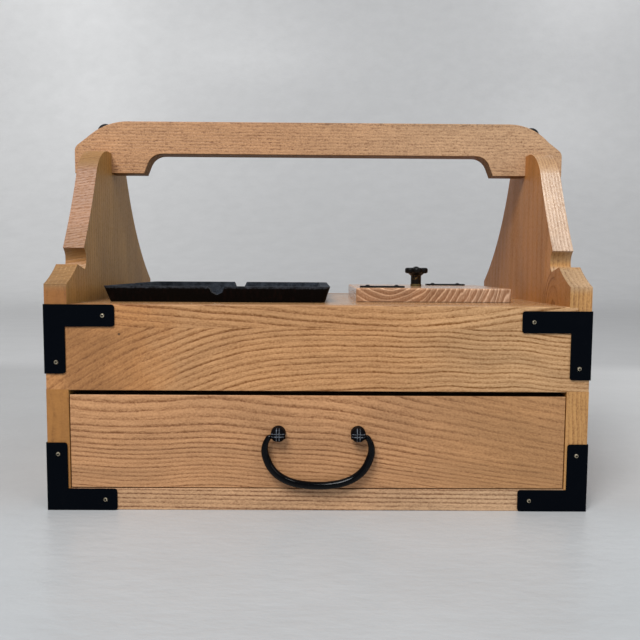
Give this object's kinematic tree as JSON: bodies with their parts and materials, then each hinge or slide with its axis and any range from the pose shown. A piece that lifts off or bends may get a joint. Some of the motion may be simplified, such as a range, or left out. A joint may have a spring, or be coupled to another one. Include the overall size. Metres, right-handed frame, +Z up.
{
  "type": "carrying tobacco box",
  "caption": "Low wooden smoker's box with a carrying beam, iron corner brackets, a drawer with a bail pull, a drop-in cast ashtray and a lidded compartment.",
  "frame": {"origin": "on the floor under the middle of the box", "axes": "+X to the right seen from the drawer front, +Y from the drawer front to the back, +Z up"},
  "size_m": [0.3564, 0.2157, 0.2546],
  "materials": {
    "case_wood": "ring-porous light golden tan wood, thin clear finish worn to a soft satin",
    "inner_wood": "plain planed wood, no finish",
    "drawer_wood": "pinkish tan figured wood, soft satin",
    "beam_wood": "pinkish tan wood polished by hands",
    "lid_wood": "light wood, end grain to the front, soft satin",
    "black_iron": "blackened iron, satin, rubbed on the edges",
    "nail_metal": "small worn brass-coloured nail heads",
    "collar_brass": "aged brass, olive brown",
    "knob_bronze": "dark patinated bronze, worn to brown on the stem",
    "tray_iron": "black cast iron, rough, rubbed to blue grey on the rim and inside"
  },
  "bodies": {
    "case": {"side_board_left": "case_wood", "side_board_right": "case_wood", "front_board": "case_wood", "back_board": "case_wood", "top_board": "case_wood", "bottom_board": "case_wood", "dust_board": "inner_wood", "partition_left": "inner_wood", "partition_right": "inner_wood", "compartment_wall_front": "inner_wood", "compartment_wall_back": "inner_wood", "handle_beam": "beam_wood", "beam_nail_left": "black_iron", "beam_nail_right": "black_iron", "bracket_front_left_bottom": "black_iron", "bracket_front_left_top": "black_iron", "bracket_front_right_bottom": "black_iron", "bracket_front_right_top": "black_iron", "bracket_back_left_bottom": "black_iron", "bracket_back_left_top": "black_iron", "bracket_back_right_bottom": "black_iron", "bracket_back_right_top": "black_iron", "bracket_nails_front": "nail_metal", "bracket_nails_back": "nail_metal", "bracket_nails_left": "nail_metal", "bracket_nails_right": "nail_metal"},
    "drawer": {"drawer_front": "drawer_wood", "drawer_side_left": "inner_wood", "drawer_side_right": "inner_wood", "drawer_back": "inner_wood", "drawer_bottom": "inner_wood", "pull_post_left": "black_iron", "pull_post_right": "black_iron", "pull_washer_left": "black_iron", "pull_washer_right": "black_iron"},
    "pull": {"pull_bail": "black_iron"},
    "lid": {"lid_panel": "lid_wood", "lid_batten_front": "lid_wood", "lid_batten_back": "lid_wood", "knob_collar": "collar_brass", "lid_knob": "knob_bronze", "lid_plate_left": "black_iron", "lid_plate_right": "black_iron", "lid_plate_nails": "nail_metal"},
    "ashtray": {"ashtray": "tray_iron"}
  },
  "joints": [
    {"name": "drawer_slide", "type": "slide", "parent": "case", "child": "drawer", "axis": [0, -1, 0], "range_m": [0, 0.15]},
    {"name": "pull_swing", "type": "hinge", "parent": "drawer", "child": "pull", "pos_m": [0, -0.1076, 0.047], "axis": [-1, 0, 0], "range_deg": [0, 175]},
    {"name": "lid_lift", "type": "slide", "parent": "case", "child": "lid", "axis": [0, 0, 1], "range_m": [0, 0.06]},
    {"name": "ashtray_lift", "type": "slide", "parent": "case", "child": "ashtray", "axis": [0, 0, 1], "range_m": [0, 0.06]}
  ]
}
